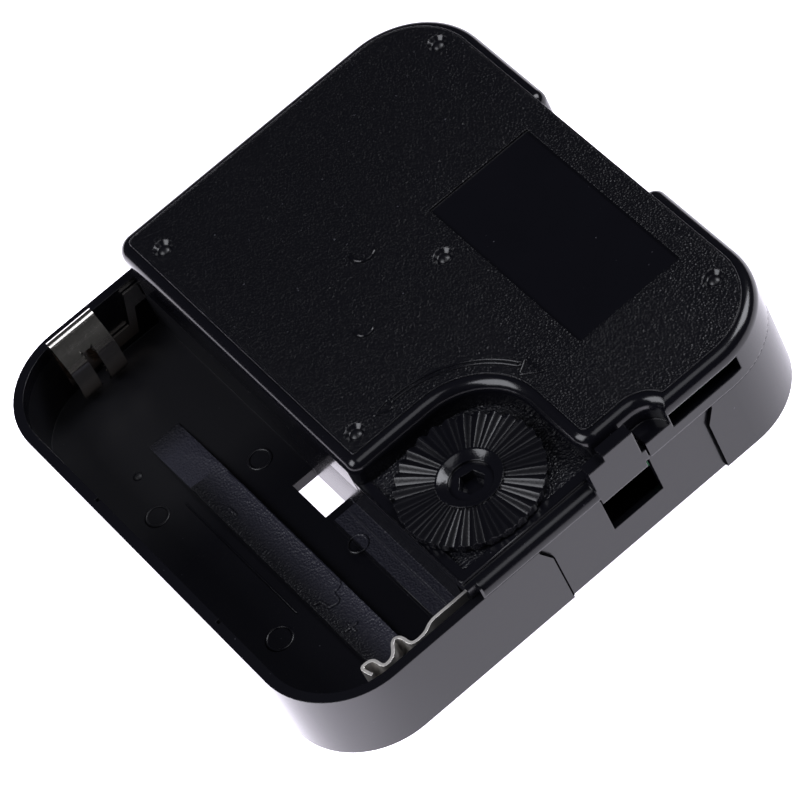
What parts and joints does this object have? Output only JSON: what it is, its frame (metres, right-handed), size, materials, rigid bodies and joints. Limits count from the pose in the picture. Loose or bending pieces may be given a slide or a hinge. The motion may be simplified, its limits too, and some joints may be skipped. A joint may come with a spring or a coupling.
{
  "type": "quartz clock movement",
  "caption": "Square quartz clock movement with an open cell bay, a ribbed setting knob, a grained rear cover over the wheel train and a threaded bush for the hands.",
  "frame": {"origin": "on the hand axis, at the case face that rests on the dial", "axes": "+Z out of the back, away from the dial; +X towards the setting knob and the latch; +Y away from the cell bay"},
  "size_m": [0.056, 0.056, 0.0253],
  "materials": {
    "case_black": "fine satin",
    "cover_black": "fine grain on top, gloss on the rounded edges",
    "plate_black": "grained tray with glossy lips",
    "knob_black": "gloss",
    "acetal_white": "natural satin",
    "hand_brass": "satin",
    "bush_brass": "satin, threaded",
    "arbor_steel": "drawn",
    "magnet_grey": "matt, sintered",
    "stator_steel": "stamped",
    "bobbin_plastic": "satin",
    "copper_wire": "enamelled copper wire",
    "board_green": "coated",
    "chip_epoxy": "gloss",
    "crystal_can": "bright",
    "contact_nickel": "nickel plated, bright"
  },
  "bodies": {
    "movement": {"front_case": "case_black", "threaded_bush": "bush_brass", "middle_plate": "plate_black", "rear_cover": "cover_black", "stator": "stator_steel", "coil_core": "stator_steel", "coil_bobbin": "bobbin_plastic", "coil_winding": "copper_wire", "circuit_board": "board_green", "chip_cover": "chip_epoxy", "quartz_crystal": "crystal_can", "contact_negative": "contact_nickel", "contact_positive": "contact_nickel"},
    "knob": {"setting_knob": "knob_black", "setting_arbor": "knob_black"},
    "minute_work": {"minute_work_wheel": "acetal_white"},
    "hour": {"hour_wheel": "acetal_white"},
    "minute": {"minute_arbor": "hand_brass"},
    "centre": {"centre_wheel": "acetal_white"},
    "third": {"third_wheel": "acetal_white"},
    "second": {"second_wheel": "acetal_white", "second_arbor": "arbor_steel"},
    "fifth": {"fifth_wheel": "acetal_white"},
    "rotor": {"rotor_pinion": "acetal_white", "rotor_magnet": "magnet_grey"}
  },
  "joints": [
    {"name": "knob_spin", "type": "hinge", "parent": "movement", "child": "knob", "pos_m": [0.0189, -0.003, 0], "axis": [0, 0, 1], "continuous": true},
    {"name": "minute_work_spin", "type": "hinge", "parent": "movement", "child": "minute_work", "pos_m": [0.00957, -0.00073, 0], "axis": [0, 0, 1], "continuous": true},
    {"name": "minute_spin", "type": "hinge", "parent": "movement", "child": "minute", "pos_m": [0, 0, 0], "axis": [0, 0, 1], "continuous": true},
    {"name": "hour_spin", "type": "hinge", "parent": "movement", "child": "hour", "pos_m": [0, 0, 0], "axis": [0, 0, 1], "continuous": true},
    {"name": "rotor_spin", "type": "hinge", "parent": "movement", "child": "rotor", "pos_m": [0.00202, 0.01422, 0], "axis": [0, 0, 1], "continuous": true},
    {"name": "fifth_spin", "type": "hinge", "parent": "movement", "child": "fifth", "pos_m": [0.00441, 0.00764, 0], "axis": [0, 0, 1], "continuous": true},
    {"name": "second_spin", "type": "hinge", "parent": "movement", "child": "second", "pos_m": [0, 0, 0], "axis": [0, 0, 1], "continuous": true},
    {"name": "third_spin", "type": "hinge", "parent": "movement", "child": "third", "pos_m": [-0.00846, 0.00308, 0], "axis": [0, 0, 1], "continuous": true},
    {"name": "centre_spin", "type": "hinge", "parent": "movement", "child": "centre", "pos_m": [0, 0, 0], "axis": [0, 0, 1], "continuous": true}
  ],
  "couplings": [
    {"joint": "minute_work_spin", "follows": "knob_spin", "ratio": -0.33333},
    {"joint": "minute_spin", "follows": "knob_spin", "ratio": 1},
    {"joint": "hour_spin", "follows": "knob_spin", "ratio": 0.083333},
    {"joint": "rotor_spin", "follows": "second_spin", "ratio": 30},
    {"joint": "fifth_spin", "follows": "second_spin", "ratio": -5},
    {"joint": "third_spin", "follows": "second_spin", "ratio": -0.13333},
    {"joint": "centre_spin", "follows": "second_spin", "ratio": 0.016667}
  ]
}
